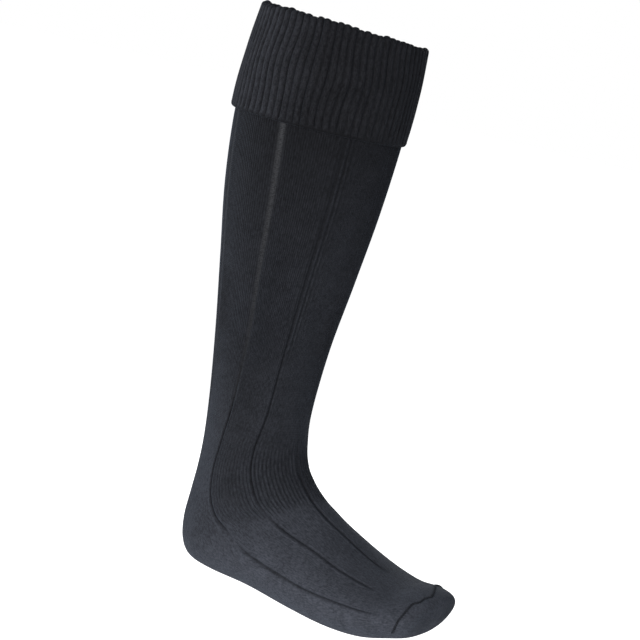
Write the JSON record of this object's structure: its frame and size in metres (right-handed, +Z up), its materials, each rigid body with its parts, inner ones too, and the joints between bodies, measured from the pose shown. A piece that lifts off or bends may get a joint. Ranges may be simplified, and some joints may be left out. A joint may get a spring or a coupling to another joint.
{
  "type": "football sock",
  "caption": "Calf-length knitted football sock with a ribbed turnover cuff, drop-stitch lines down the leg, ribbed ankle, cushioned heel and sole and a closed seamed toe.",
  "frame": {"origin": "centre of the open top, level with the fold of the cuff", "axes": "+X towards the toes, +Z up along the leg and out of the open top, +Y across the sock"},
  "size_m": [0.2741, 0.1324, 0.445],
  "materials": {
    "cuff_rib_knit": "matte ribbed knit",
    "leg_knit": "matte fine knit",
    "ankle_rib_knit": "matte ribbed knit",
    "cushion_knit": "soft heathered knit",
    "foot_knit": "soft heathered knit",
    "linking_yarn": "matte linked seam"
  },
  "bodies": {
    "root": {"turnover_cuff": "cuff_rib_knit", "leg_tube": "leg_knit", "ankle_rib": "ankle_rib_knit", "heel_pocket": "cushion_knit", "instep": "foot_knit", "sole": "cushion_knit", "toe_cap": "foot_knit", "toe_seam": "linking_yarn"}
  },
  "joints": []
}
